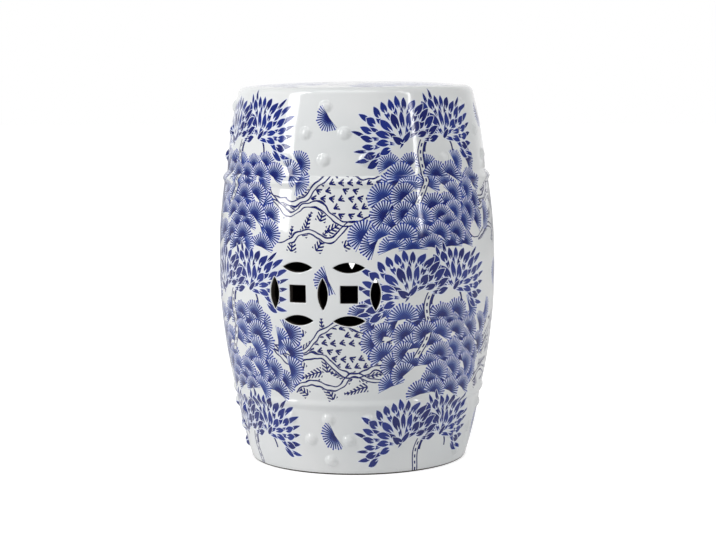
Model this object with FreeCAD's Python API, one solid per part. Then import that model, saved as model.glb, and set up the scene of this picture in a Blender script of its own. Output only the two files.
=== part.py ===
import FreeCAD, Part
import math
import os

# Glazed ceramic garden stool in the drum form.
# Millimetres, +Z up. The origin is the centre of the ring that the stool stands on.
# The front faces -Y. A turn is an angle from the front towards +X, in degrees.
# The clay members are made apart and luted together before the one firing.

# Overall form
total_height = 457.0
wall = 8.0

# Seat: a flat centre, a shallow crown and a rounded shoulder
seat_thickness = 9.0
seat_flat_radius = 58.0
crown_slope = 3.3
shoulder_depth = 17.0
shoulder_round = 10.5
shoulder_bands = 3

# Upper course: the drum's upper boss band, from the upper joint to the seat
upper_joint_height = 345.0
upper_course_base_radius = 157.2
upper_course_top_radius = 143.6
upper_course_bulge = 2.6
upper_course_bands = 2

# Middle course: the belly
belly_height = 231.0
belly_radius = 168.5
middle_course_top_radius = 159.6
middle_course_base_radius = 151.4
middle_course_bands = 5

# Lower course: the drum's lower boss band, from the foot to the lower joint
lower_joint_height = 86.0
lower_course_top_radius = 150.8
lower_course_base_radius = 133.4
lower_course_bulge = 1.6
lower_course_bands = 2

# Foot ring: thicker than the wall, with bevelled edges to its tread
foot_height = 7.0
foot_thickness = 15.0
foot_draft = 1.8
foot_bevel = 1.8

# Mouldings: raised cords that cover the two joints
upper_moulding_half_height = 8.5
upper_moulding_projection = 3.0
lower_moulding_half_height = 7.5
lower_moulding_projection = 2.2
moulding_bands = 4

# Bosses: low domes laid in triangles, like the nails of a drum
boss_groups = 5
boss_diameter = 14.5
boss_rise = 3.4
boss_sides = 10
boss_tiers = (0.0, 0.6, 0.95)
boss_rows = 3
upper_boss_pitch_turn = 17.4
upper_boss_margin_above = 9.5
upper_boss_margin_below = 25.5
lower_boss_pitch_turn = 18.2
lower_boss_margin_above = 17.0
lower_boss_margin_below = 11.0

# Pierced coins: a square between four pointed ovals
coin_reach = 30.7
coin_square = 20.5
oval_length = 37.5
oval_width = 12.0
front_coins_height = 217.5
rear_coins_height = 228.5
rear_coins_turn = 175.2

# How far a cutting body reaches past the clay, and the turn at which the belly is pierced
overshoot = 12.0
working_turn = 33.0

seat_joint_height = total_height - shoulder_depth


def point(radius, height):
    """A point of a section, which lies in the XZ plane."""
    return FreeCAD.Vector(radius, 0, height)


def turned(corners):
    """The solid that a closed section with these corners sweeps about the stool's axis."""
    outline = Part.makePolygon(corners + corners[:1])
    return Part.Face(outline).revolve(FreeCAD.Vector(0, 0, 0), FreeCAD.Vector(0, 0, 1), 360)


def bulged_arc(start, end, bulge):
    """The arc between two points whose middle stands out by the bulge."""
    chord = end.sub(start)
    outward = FreeCAD.Vector(chord.z, 0, -chord.x)
    outward.normalize()
    middle = start.add(end).multiply(0.5).add(outward.multiply(bulge))
    return Part.Arc(start, middle, end)


def banded(arc, bands):
    """Evenly spaced points of an arc, which is made as this many conical bands."""
    step = (arc.LastParameter - arc.FirstParameter) / bands
    return [arc.value(arc.FirstParameter + index * step) for index in range(bands + 1)]


# The outer line of each course, from its lower edge to its upper one
upper_outline = banded(
    bulged_arc(
        point(upper_course_base_radius, upper_joint_height),
        point(upper_course_top_radius, seat_joint_height),
        upper_course_bulge,
    ),
    upper_course_bands,
)
middle_outline = banded(
    Part.Arc(
        point(middle_course_base_radius, lower_joint_height),
        point(belly_radius, belly_height),
        point(middle_course_top_radius, upper_joint_height),
    ),
    middle_course_bands,
)
lower_outline = banded(
    bulged_arc(
        point(lower_course_base_radius, foot_height),
        point(lower_course_top_radius, lower_joint_height),
        lower_course_bulge,
    ),
    lower_course_bands,
)


def band_at(outline, height):
    """The band of a wall at a height, as its lower and its upper point."""
    for lower, upper in zip(outline, outline[1:]):
        if height <= upper.z:
            break
    return lower, upper


def radius_at(outline, height):
    """How far a wall's outer line stands from the axis at a height."""
    lower, upper = band_at(outline, height)
    share = (height - lower.z) / (upper.z - lower.z)
    return lower.x + share * (upper.x - lower.x)


def lean_at(outline, height):
    """How far the wall faces up at a height, as an angle in radians."""
    lower, upper = band_at(outline, height)
    return math.atan2(lower.x - upper.x, upper.z - lower.z)


def moved_in(vector, distance):
    return FreeCAD.Vector(vector.x - distance, 0, vector.z)


def course(outline):
    """One ring of wall, of even thickness, with two flat joints."""
    inner_line = [moved_in(vector, wall) for vector in outline]
    return turned(outline + inner_line[::-1])


def square_outline(size):
    half = size / 2
    corners = [(-half, -half), (half, -half), (half, half), (-half, half), (-half, -half)]
    return Part.makePolygon([FreeCAD.Vector(across, up, 0) for across, up in corners])


def pointed_oval_outline(upright):
    """Two equal arcs that meet in two points, upright or lying."""
    if upright:
        tip = FreeCAD.Vector(0, oval_length / 2, 0)
        side = FreeCAD.Vector(oval_width / 2, 0, 0)
    else:
        tip = FreeCAD.Vector(oval_length / 2, 0, 0)
        side = FreeCAD.Vector(0, oval_width / 2, 0)
    first = Part.Arc(tip.negative(), side, tip)
    second = Part.Arc(tip, side.negative(), tip.negative())
    return Part.Wire([first.toShape(), second.toShape()])


def coin_openings(depth):
    """The piercings of one coin along +Z, each with where it stands: across, then up."""
    drilling = FreeCAD.Vector(0, 0, depth)
    upright = Part.Face(pointed_oval_outline(True)).extrude(drilling)
    lying = Part.Face(pointed_oval_outline(False)).extrude(drilling)
    return [
        (0.0, 0.0, Part.Face(square_outline(coin_square)).extrude(drilling)),
        (-coin_reach, 0.0, upright),
        (coin_reach, 0.0, upright),
        (0.0, -coin_reach, lying),
        (0.0, coin_reach, lying),
    ]


def double_coin_openings(depth):
    """Two coins side by side, which share the upright oval between them."""
    openings = []
    for across, up, body in coin_openings(depth):
        openings.append((across - coin_reach, up, body))
        shared = across < 0
        if not shared:
            openings.append((across + coin_reach, up, body))
    return openings


def wall_cutters(height, turn):
    """What one double coin takes out of the wall, each piercing square to it at its own turn."""
    cutters = []
    for across, up, body in double_coin_openings(wall + 2 * overshoot):
        cutter = body.copy()
        cutter.rotate(FreeCAD.Vector(0, 0, 0), FreeCAD.Vector(1, 0, 0), 90)
        cutter.translate(FreeCAD.Vector(0, -belly_radius + wall + overshoot, height + up))
        own_turn = turn + math.degrees(across / belly_radius)
        cutter.rotate(FreeCAD.Vector(0, 0, 0), FreeCAD.Vector(0, 0, 1), own_turn)
        cutters.append(cutter)
    return cutters


def make_seat_top():
    """The seat slab with its shoulder and the single coin that is a hand hold.

    The shoulder's round starts square to the crown and ends in line with the wall.
    """
    crown_turn = math.radians(crown_slope)
    lean = lean_at(upper_outline, seat_joint_height)
    shoulder_across = shoulder_round * (math.cos(lean) - math.sin(crown_turn))
    shoulder_down = shoulder_round * (math.cos(crown_turn) - math.sin(lean))
    crown_fall = math.tan(crown_turn)
    wall_fall = math.tan(lean)
    level_edge = upper_course_top_radius - shoulder_across - wall_fall * (shoulder_depth - shoulder_down)
    crown_radius = (level_edge - wall_fall * crown_fall * seat_flat_radius) / (1 - wall_fall * crown_fall)
    crown_edge = point(crown_radius, total_height - crown_fall * (crown_radius - seat_flat_radius))
    shoulder_edge = point(crown_edge.x + shoulder_across, crown_edge.z - shoulder_down)
    centre_x = crown_edge.x - shoulder_round * math.sin(crown_turn)
    centre_z = crown_edge.z - shoulder_round * math.cos(crown_turn)
    middle_turn = (crown_turn + math.pi / 2 - lean) / 2
    shoulder_middle = point(
        centre_x + shoulder_round * math.sin(middle_turn),
        centre_z + shoulder_round * math.cos(middle_turn),
    )
    joint_edge = point(upper_course_top_radius, seat_joint_height)
    corners = [point(0, total_height), point(seat_flat_radius, total_height)]
    corners += banded(Part.Arc(crown_edge, shoulder_middle, shoulder_edge), shoulder_bands)
    corners += [
        joint_edge,
        moved_in(joint_edge, wall),
        point(crown_edge.x, crown_edge.z - seat_thickness),
        point(seat_flat_radius, total_height - seat_thickness),
        point(0, total_height - seat_thickness),
    ]
    seat = turned(corners)
    cutters = []
    for across, up, body in coin_openings(seat_thickness + 2 * overshoot):
        cutter = body.copy()
        cutter.translate(FreeCAD.Vector(across, up, total_height - seat_thickness - overshoot))
        cutters.append(cutter)
    return seat.cut(cutters)


def make_middle_course():
    """The belly wall, pierced by the front and the rear double coin.

    It is pierced in a turned position and turned back, because a cut can be lost
    where an upright oval meets the wall right on one of the frame's planes.
    """
    cutters = wall_cutters(front_coins_height, working_turn)
    cutters += wall_cutters(rear_coins_height, working_turn + rear_coins_turn)
    pierced = course(middle_outline).cut(cutters)
    pierced.rotate(FreeCAD.Vector(0, 0, 0), FreeCAD.Vector(0, 0, 1), -working_turn)
    return pierced


def make_foot_ring():
    """The ring that the stool stands on, with its tread's two edges bevelled."""
    outer = lower_course_base_radius
    inner = outer - foot_thickness
    draft = foot_draft * foot_bevel / foot_height
    corners = [
        point(outer, foot_height),
        point(inner, foot_height),
        point(inner, foot_bevel),
        point(inner + foot_bevel, 0),
        point(outer - foot_draft - foot_bevel, 0),
        point(outer - foot_draft + draft, foot_bevel),
    ]
    return turned(corners)


def make_moulding(joint_height, half_height, projection, outline_above, outline_below):
    """A raised cord round a joint, whose inner side lies on both courses."""
    above = joint_height + half_height
    below = joint_height - half_height
    upper_edge = point(radius_at(outline_above, above), above)
    lower_edge = point(radius_at(outline_below, below), below)
    wall_radius = max(outline_above[0].x, outline_below[-1].x)
    crest = point(wall_radius + projection, joint_height)
    seating = [corner for corner in outline_below + outline_above if below < corner.z < above]
    cord = banded(Part.Arc(lower_edge, crest, upper_edge), moulding_bands)
    return turned(seating + cord[::-1])


def boss_corners(ball_radius, height):
    """The corners round the dome's ball at a height above its base, the first one repeated."""
    drop = boss_rise - ball_radius - height
    radius = math.sqrt(ball_radius ** 2 - drop ** 2)
    corners = []
    for index in range(boss_sides):
        turn = 2 * math.pi * index / boss_sides
        corners.append(FreeCAD.Vector(radius * math.cos(turn), radius * math.sin(turn), height))
    return corners + corners[:1]


def make_boss(outline, height):
    """One low dome at the front, in tiers of flats, square to the wall that it is luted to."""
    ball_radius = ((boss_diameter / 2) ** 2 + boss_rise ** 2) / (2 * boss_rise)
    rings = [boss_corners(ball_radius, share * boss_rise) for share in boss_tiers]
    flats = [Part.Face(Part.makePolygon(rings[0])), Part.Face(Part.makePolygon(rings[-1]))]
    for lower, upper in zip(rings, rings[1:]):
        for side in range(boss_sides):
            flat = [lower[side], lower[side + 1], upper[side + 1], upper[side], lower[side]]
            flats.append(Part.Face(Part.makePolygon(flat)))
    boss = Part.Solid(Part.Shell(flats))
    lean = lean_at(outline, height)
    boss.rotate(FreeCAD.Vector(0, 0, 0), FreeCAD.Vector(1, 0, 0), 90 - math.degrees(lean))
    boss.translate(FreeCAD.Vector(0, -radius_at(outline, height), height))
    return boss


def boss_row_heights(outline, margin_above, margin_below):
    """The heights of a course's rows of bosses, evenly spaced from the top one down."""
    top = outline[-1].z - margin_above
    bottom = outline[0].z + margin_below
    return [top + (bottom - top) * row / (boss_rows - 1) for row in range(boss_rows)]


def make_boss_row(outline, height, per_group, pitch_turn):
    """The bosses of one row, spread evenly within each group round the stool."""
    boss = make_boss(outline, height)
    row = []
    for group in range(boss_groups):
        group_turn = group * 360.0 / boss_groups
        for index in range(per_group):
            turn = group_turn + (index - (per_group - 1) / 2) * pitch_turn
            copy = boss.copy()
            copy.rotate(FreeCAD.Vector(0, 0, 0), FreeCAD.Vector(0, 0, 1), turn)
            row.append(copy)
    return Part.makeCompound(row)


def build():
    """Every member, by the name of its node."""
    nodes = {
        "seat_top": make_seat_top(),
        "upper_course": course(upper_outline),
        "middle_course": make_middle_course(),
        "lower_course": course(lower_outline),
        "foot_ring": make_foot_ring(),
        "upper_moulding": make_moulding(
            upper_joint_height,
            upper_moulding_half_height,
            upper_moulding_projection,
            upper_outline,
            middle_outline,
        ),
        "lower_moulding": make_moulding(
            lower_joint_height,
            lower_moulding_half_height,
            lower_moulding_projection,
            middle_outline,
            lower_outline,
        ),
    }
    upper_heights = boss_row_heights(upper_outline, upper_boss_margin_above, upper_boss_margin_below)
    lower_heights = boss_row_heights(lower_outline, lower_boss_margin_above, lower_boss_margin_below)
    for row in range(boss_rows):
        nodes[f"upper_bosses_row_{row + 1}"] = make_boss_row(
            upper_outline, upper_heights[row], row + 1, upper_boss_pitch_turn
        )
        nodes[f"lower_bosses_row_{row + 1}"] = make_boss_row(
            lower_outline, lower_heights[row], boss_rows - row, lower_boss_pitch_turn
        )
    return nodes


os.makedirs("parts", exist_ok=True)
for node_name, shape in build().items():
    shape.exportStep(f"parts/{node_name}.step")
    print(node_name, len(shape.Solids), shape.isValid(), round(shape.Volume))
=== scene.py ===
import math

import bmesh
import bpy
from mathutils import Matrix, Vector


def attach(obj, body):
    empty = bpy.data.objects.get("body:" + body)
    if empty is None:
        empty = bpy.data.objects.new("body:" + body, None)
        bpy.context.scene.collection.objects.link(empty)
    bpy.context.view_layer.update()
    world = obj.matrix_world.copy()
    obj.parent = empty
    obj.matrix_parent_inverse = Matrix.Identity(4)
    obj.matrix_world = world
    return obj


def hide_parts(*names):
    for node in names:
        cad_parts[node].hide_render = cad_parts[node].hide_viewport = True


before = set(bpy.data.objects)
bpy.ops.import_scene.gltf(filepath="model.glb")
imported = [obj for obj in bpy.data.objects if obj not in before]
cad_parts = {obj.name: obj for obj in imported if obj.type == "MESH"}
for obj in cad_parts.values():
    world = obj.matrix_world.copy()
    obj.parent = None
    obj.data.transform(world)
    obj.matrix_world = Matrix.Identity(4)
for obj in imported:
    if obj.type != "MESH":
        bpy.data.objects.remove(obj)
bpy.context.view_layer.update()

# Foot ring. The thick ring of stoneware that the stool stands on, thrown with the wall.
# Its tread is wiped clean of glaze before the firing, so that it doesn't stick to the kiln
# shelf, and it stays bare; its dark colour is painted shade, the dark line at the stool's foot.

FOOT_HEIGHT = 0.007
FOOT_RADIUS = 0.1334
FOOT_INNER_RADIUS = 0.1184
FOOT_DRAFT = 0.0018
FOOT_ROUND = 0.002
WHEEL_STEPS = 288


def arc_centre(start, middle, end):
    """The centre (radius, height) of the circle through three points of a section, and its radius."""
    (ax, az), (bx, bz), (cx, cz) = start, middle, end
    twice = 2 * (ax * (bz - cz) + bx * (cz - az) + cx * (az - bz))
    a2, b2, c2 = ax * ax + az * az, bx * bx + bz * bz, cx * cx + cz * cz
    x = (a2 * (bz - cz) + b2 * (cz - az) + c2 * (az - bz)) / twice
    z = (a2 * (cx - bx) + b2 * (ax - cx) + c2 * (bx - ax)) / twice
    return x, z, math.hypot(ax - x, az - z)


def along_arc(arc, count):
    """Evenly spaced points of a section on the arc through three points."""
    x, z, radius = arc_centre(*arc)
    first, last = (math.atan2(height - z, across - x) for across, height in (arc[0], arc[2]))
    turns = [first + (last - first) * step / (count - 1) for step in range(count)]
    return [(x + radius * math.cos(turn), z + radius * math.sin(turn)) for turn in turns]


def turn_on_wheel(section, steps):
    """A closed section, swept once round the stool's axis, with its seam and its pole merged."""
    clay = bmesh.new()
    corners = [clay.verts.new((0.0, -radius, height)) for radius, height in section]
    outline = [clay.edges.new(pair) for pair in zip(corners, corners[1:] + corners[:1])]
    bmesh.ops.spin(clay, geom=corners + outline, cent=(0, 0, 0), axis=(0, 0, 1), dvec=(0, 0, 0),
                   angle=2 * math.pi, steps=steps, use_merge=True, use_duplicate=False)
    bmesh.ops.remove_doubles(clay, verts=clay.verts, dist=1e-6)
    bmesh.ops.dissolve_degenerate(clay, dist=1e-7, edges=clay.edges)
    bmesh.ops.recalc_face_normals(clay, faces=clay.faces)
    return clay


def fired(clay, name, nodes, materials, crease=35):
    """The finished piece: a smooth-shaded object at the origin that stands for its CAD nodes."""
    mesh = bpy.data.meshes.new(name)
    clay.to_mesh(mesh)
    clay.free()
    piece = bpy.data.objects.new(name, mesh)
    bpy.context.scene.collection.objects.link(piece)
    for material in materials:
        mesh.materials.append(material)
    mesh.shade_smooth()
    mesh.set_sharp_from_angle(angle=math.radians(crease))
    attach(piece, "root")
    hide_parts(*nodes)
    return piece


def linear(code):
    """An sRGB colour, written as six hex digits, as the linear colour that a shader takes."""
    values = [int(code[k:k + 2], 16) / 255 for k in (0, 2, 4)]
    return tuple(v / 12.92 if v <= 0.04045 else ((v + 0.055) / 1.055) ** 2.4 for v in values) + (1.0,)


def add(tree, kind, inputs, out=0, **settings):
    """Adds one shader node with its settings and links, and gives one of its outputs, if it has any."""
    node = tree.nodes.new("ShaderNode" + kind)
    for name, value in settings.items():
        setattr(node, name, value)
    for key, value in inputs.items():
        if isinstance(value, bpy.types.NodeSocket):
            tree.links.new(value, node.inputs[key])
        else:
            node.inputs[key].default_value = value
    return node.outputs[out] if len(node.outputs) else node


def empty_material(name):
    """A material without nodes, and the tree that they go into."""
    material = bpy.data.materials.new(name)
    material.use_nodes = True
    material.node_tree.nodes.clear()
    return material, material.node_tree


# Bare stoneware, dry and matt to the eye, with rings of the throwing rib 5 mm apart and
# specks of grog, about 1 mm across. Its near-black brown is painted shade, for the shut-in
# inside, the coins' cut walls and the tread. At a scale of 1 the Wave node's bands are 314 mm apart.
GROG_PER_M = 900.0
RING_SCALE = 60.0

bare_clay_as_shade, tree = empty_material("bare stoneware painted dark as shade")
place = add(tree, "TexCoord", {}, out="Object")
grog = add(tree, "TexNoise", {"Vector": place, "Scale": GROG_PER_M, "Detail": 3.0}, out=0)
tone = add(tree, "ValToRGB", {0: grog})
tone.node.color_ramp.elements[0].position = 0.3
tone.node.color_ramp.elements[0].color = linear("2B2622")
tone.node.color_ramp.elements[1].position = 0.72
tone.node.color_ramp.elements[1].color = linear("443B33")
rings = add(tree, "TexWave", {"Vector": place, "Scale": RING_SCALE, "Distortion": 1.5},
            out=1, wave_type="BANDS", bands_direction="Z")
relief = add(tree, "Bump", {"Height": rings, "Strength": 0.25, "Distance": 0.0004})
body = add(tree, "BsdfPrincipled", {"Base Color": tone, "Roughness": 0.85, "IOR": 1.5, "Normal": relief})
add(tree, "OutputMaterial", {"Surface": body})

foot = turn_on_wheel([
    (FOOT_RADIUS, FOOT_HEIGHT),
    (FOOT_INNER_RADIUS, FOOT_HEIGHT),
    (FOOT_INNER_RADIUS, FOOT_ROUND),
    (FOOT_INNER_RADIUS + 0.3 * FOOT_ROUND, 0.3 * FOOT_ROUND),
    (FOOT_INNER_RADIUS + FOOT_ROUND, 0.0),
    (FOOT_RADIUS - FOOT_DRAFT - FOOT_ROUND, 0.0),
    (FOOT_RADIUS - FOOT_DRAFT - 0.3 * FOOT_ROUND, 0.3 * FOOT_ROUND),
    (FOOT_RADIUS - 0.75 * FOOT_DRAFT, FOOT_ROUND),
], WHEEL_STEPS)

# Lower course. The lower boss band of the drum: a thrown stoneware wall 8 mm thick, coated
# with white slip and dipped in a clear glaze. The blue is a cobalt transfer that lies under
# the glaze: leafy crowns in three rows, with tufts of pine needles, trunks and ticks between.

WALL = 0.008
LOWER_JOINT_HEIGHT = 0.086
LOWER_TOP_RADIUS = 0.1508
LOWER_BULGE = 0.0016
BAND_POINTS = 25

# The transfer is one sheet, repeated four times round the stool and every 175 mm up it. The
# drawings count columns of the sheet round the stool, and every other length in them is in mm.
COLUMNS = 4
COLUMN_WIDTH = 251.0
REPEAT_HEIGHT = 175.0
FIRST_REPEAT = 28.0

WHITE_SLIP = linear("E6E7E7")
DEEP_COBALT = linear("0C1764")
MID_COBALT = linear("1B349A")
PALE_COBALT = linear("4465C2")
FAINT_COBALT = linear("A3B9EC")


def print_group(name, numbers=()):
    """An empty drawing with the column and height that it is laid on, and the print beneath it."""
    group = bpy.data.node_groups.new(name, "ShaderNodeTree")
    for number in ("Column", "Height") + numbers:
        group.interface.new_socket(name=number, in_out="INPUT", socket_type="NodeSocketFloat")
    group.interface.new_socket(name="Under", in_out="INPUT", socket_type="NodeSocketColor")
    group.interface.new_socket(name="Print", in_out="OUTPUT", socket_type="NodeSocketColor")
    return group, group.nodes.new("NodeGroupInput").outputs, group.nodes.new("NodeGroupOutput").inputs


def across_sheet(tree, column):
    """How far a spot stands aside of the middle of its sheet."""
    share = add(tree, "Math", {0: column}, operation="FRACT")
    return add(tree, "Math", {0: share, 1: COLUMN_WIDTH, 2: -COLUMN_WIDTH / 2}, operation="MULTIPLY_ADD")


def up_sheet(tree, height, below=0.0):
    """How high a spot stands over the foot of its sheet, or over a level so far below it."""
    level = add(tree, "Math", {0: height, 1: FIRST_REPEAT - below}, operation="SUBTRACT")
    return add(tree, "Math", {0: level, 1: REPEAT_HEIGHT, 2: 0.0}, operation="WRAP")


def within(tree, limits):
    """Whether every measure lies within its limits, each given as a middle and a half width."""
    there = 1.0
    for measure, middle, half in limits:
        near = add(tree, "Math", {0: measure, 1: middle, 2: half}, operation="COMPARE")
        there = add(tree, "Math", {0: there, 1: near}, operation="MULTIPLY")
    return there


def from_middle(tree, grid, width, height):
    """A spot's place in its cell, from the cell's middle, where the grid counts the cells."""
    share = add(tree, "VectorMath", {0: grid}, operation="FRACTION")
    corner = (-width / 2, -height / 2, 0.0)
    return add(tree, "VectorMath", {0: share, 1: (width, height, 0.0), 2: corner}, operation="MULTIPLY_ADD")


def strayed(tree, spot, chance, across, up):
    """The spot seen from a motif that strays at random from its cell's middle."""
    most = (across / 2, up / 2, 0.0)
    stray = add(tree, "VectorMath", {0: chance, 1: (-across, -up, 0.0), 2: most}, operation="MULTIPLY_ADD")
    return add(tree, "VectorMath", {0: spot, 1: stray}, operation="ADD")


# Banks: winding double lines beside the coins, 5 mm apart, with three-pronged ticks, 6 mm
# long, in loose rows between the upper two. Each has a level and a slope, and swings in waves
# of its own.
BANK_LINES = (
    {"level": 147.0, "slope": 0.34, "swing": 11.0, "wave": 14.0, "phase": 0.6},
    {"level": 115.0, "slope": -0.22, "swing": 9.0, "wave": 11.0, "phase": 2.2},
    {"level": 90.0, "slope": 0.16, "swing": 6.0, "wave": 9.0, "phase": 4.0},
)
BANK_HALF_WIDTH = 3.6
BANK_LINE_ASIDE = 2.5
BANK_LINE_HALF_WIDTH = 0.85
# Limits are a middle and a half width
BANKS_UP_SHEET = (118.0, 46.0)
BANKS_ASIDE = (0.0, 78.0)
BANKS_UP_WALL = (222.0, 130.0)
WAVER = 14.0
WAVERS_PER_MM = 0.05
TICK_CELLS = 24
TICK_CELL_HEIGHT = 9.2
TICK_STRAY = (1.6, 1.2)
TICK_TURN = 0.6
TICK_HALF_LENGTH = 3.2
TICK_STEM_HALF_WIDTH = 0.8
PRONG_SPREAD = 0.6
PRONG_ASIDE = 1.6
PRONG_HALF_WIDTH = 1.2
TICKS_LEFT_OUT = 0.1

banks, given, made = print_group("banks and ticks")
beside_column = add(banks, "Math", {0: given["Column"], 1: 0.5}, operation="ADD")
aside = across_sheet(banks, beside_column)
row = up_sheet(banks, given["Height"])
there = within(banks, [(row, *BANKS_UP_SHEET), (aside, *BANKS_ASIDE), (given["Height"], *BANKS_UP_WALL)])
# The hand wavers by 4 mm, and differently on each column
drawn_at = add(banks, "CombineXYZ", {0: given["Column"], 1: given["Height"]})
drawn_at = add(banks, "VectorMath", {0: drawn_at, 1: (COLUMN_WIDTH, 1.0, 1.0)}, operation="MULTIPLY")
waver = add(banks, "TexNoise", {"Vector": drawn_at, "Scale": WAVERS_PER_MM, "Detail": 1.0}, out=0)
row = add(banks, "Math", {0: waver, 1: WAVER, 2: row}, operation="MULTIPLY_ADD")
# Divided by the steepness, the distance is square to the line, which keeps its width
inked = cleared = 0.0
distances = []
for bank in BANK_LINES:
    turn = add(banks, "Math", {0: aside, 1: 1 / bank["wave"], 2: bank["phase"]}, operation="MULTIPLY_ADD")
    slope = add(banks, "Math", {0: turn}, operation="COSINE")
    swing = bank["swing"] / bank["wave"]
    slope = add(banks, "Math", {0: slope, 1: swing, 2: bank["slope"]}, operation="MULTIPLY_ADD")
    steepness = add(banks, "Math", {0: slope, 1: slope, 2: 1.0}, operation="MULTIPLY_ADD")
    steepness = add(banks, "Math", {0: steepness}, operation="SQRT")
    level = add(banks, "Math", {0: turn}, operation="SINE")
    level = add(banks, "Math", {0: level, 1: bank["swing"], 2: bank["level"]}, operation="MULTIPLY_ADD")
    level = add(banks, "Math", {0: aside, 1: bank["slope"], 2: level}, operation="MULTIPLY_ADD")
    distance = add(banks, "Math", {0: row, 1: level}, operation="SUBTRACT")
    distance = add(banks, "Math", {0: distance, 1: steepness}, operation="DIVIDE")
    distances.append(distance)
    distance = add(banks, "Math", {0: distance}, operation="ABSOLUTE")
    line = add(banks, "Math", {0: distance, 1: BANK_LINE_ASIDE, 2: BANK_LINE_HALF_WIDTH}, operation="COMPARE")
    inked = add(banks, "Math", {0: inked, 1: line}, operation="MAXIMUM")
    beneath = add(banks, "Math", {0: distance, 1: BANK_HALF_WIDTH}, operation="LESS_THAN")
    cleared = add(banks, "Math", {0: cleared, 1: beneath}, operation="MAXIMUM")
below_first = add(banks, "Math", {0: distances[0], 1: 0.0}, operation="LESS_THAN")
above_second = add(banks, "Math", {0: distances[1], 1: 0.0}, operation="GREATER_THAN")
field = add(banks, "Math", {0: below_first, 1: above_second}, operation="MULTIPLY")
# Each row of ticks starts half a cell further on than the row below it
v = add(banks, "Math", {0: given["Height"], 1: 1 / TICK_CELL_HEIGHT}, operation="MULTIPLY")
half_cells = add(banks, "Math", {0: v}, operation="FLOOR")
half_cells = add(banks, "Math", {0: half_cells, 1: 0.5}, operation="MULTIPLY")
u = add(banks, "Math", {0: given["Column"], 1: TICK_CELLS, 2: half_cells}, operation="MULTIPLY_ADD")
grid = add(banks, "CombineXYZ", {0: u, 1: v})
cell = add(banks, "VectorMath", {0: grid}, operation="FLOOR")
chance = add(banks, "TexWhiteNoise", {"Vector": cell}, out="Color", noise_dimensions="2D")
kept = add(banks, "Math", {0: chance.node.outputs["Value"], 1: TICKS_LEFT_OUT}, operation="GREATER_THAN")
spot = from_middle(banks, grid, COLUMN_WIDTH / TICK_CELLS, TICK_CELL_HEIGHT)
spot = strayed(banks, spot, chance, *TICK_STRAY)
turn = add(banks, "SeparateColor", {0: chance}, out=2)
turn = add(banks, "Math", {0: turn, 1: 2 * TICK_TURN, 2: -TICK_TURN}, operation="MULTIPLY_ADD")
spot = add(banks, "VectorRotate", {"Vector": spot, "Angle": turn}, rotation_type="Z_AXIS")
along = add(banks, "SeparateXYZ", {0: spot})
across = add(banks, "Math", {0: along.node.outputs[1]}, operation="ABSOLUTE")
prong = add(banks, "Math", {0: along, 1: PRONG_SPREAD, 2: PRONG_ASIDE}, operation="MULTIPLY_ADD")
prong = add(banks, "Math", {0: across, 1: prong, 2: PRONG_HALF_WIDTH}, operation="COMPARE")
stem = add(banks, "Math", {0: across, 1: TICK_STEM_HALF_WIDTH}, operation="LESS_THAN")
tick = add(banks, "Math", {0: prong, 1: stem}, operation="MAXIMUM")
short = add(banks, "Math", {0: along, 1: 0.0, 2: TICK_HALF_LENGTH}, operation="COMPARE")
clear_of_lines = add(banks, "Math", {0: 1.0, 1: cleared}, operation="SUBTRACT")
for test in (short, kept, clear_of_lines):
    tick = add(banks, "Math", {0: tick, 1: test}, operation="MULTIPLY")
inked = add(banks, "Math", {0: inked, 1: tick}, operation="MAXIMUM")
cover = add(banks, "Math", {0: cleared, 1: field}, operation="MAXIMUM")
cover = add(banks, "Math", {0: cover, 1: there}, operation="MULTIPLY")
shade = add(banks, "Mix", {0: inked, 6: WHITE_SLIP, 7: DEEP_COBALT}, out=2, data_type="RGBA")
laid = add(banks, "Mix", {0: cover, 6: given["Under"], 7: shade}, out=2, data_type="RGBA")
banks.links.new(laid, made[0])


def scattered(tree, given, cells, cell_height):
    """A motif in each cell of a grid: the grid, the cell's random numbers, and where its middle is."""
    u = add(tree, "Math", {0: given["Column"], 1: cells, 2: given["Across"]}, operation="MULTIPLY_ADD")
    v = add(tree, "Math", {0: given["Height"], 1: 1 / cell_height, 2: given["Up"]}, operation="MULTIPLY_ADD")
    cell_u = add(tree, "Math", {0: u}, operation="FLOOR")
    cell_v = add(tree, "Math", {0: v}, operation="FLOOR")
    round_u = add(tree, "Math", {0: cell_u, 1: cells * COLUMNS, 2: 0.0}, operation="WRAP")
    cell = add(tree, "CombineXYZ", {0: round_u, 1: cell_v, 2: given["Seed"]})
    chance = add(tree, "TexWhiteNoise", {"Vector": cell}, out="Color", noise_dimensions="3D")
    middle_u = add(tree, "Math", {0: cell_u, 1: given["Across"]}, operation="SUBTRACT")
    middle_u = add(tree, "Math", {0: middle_u, 1: 1 / cells, 2: 0.5 / cells}, operation="MULTIPLY_ADD")
    middle_v = add(tree, "Math", {0: cell_v, 1: given["Up"]}, operation="SUBTRACT")
    middle_v = add(tree, "Math", {0: middle_v, 1: cell_height, 2: cell_height / 2}, operation="MULTIPLY_ADD")
    return add(tree, "CombineXYZ", {0: u, 1: v}), chance, middle_u, middle_v


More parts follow.
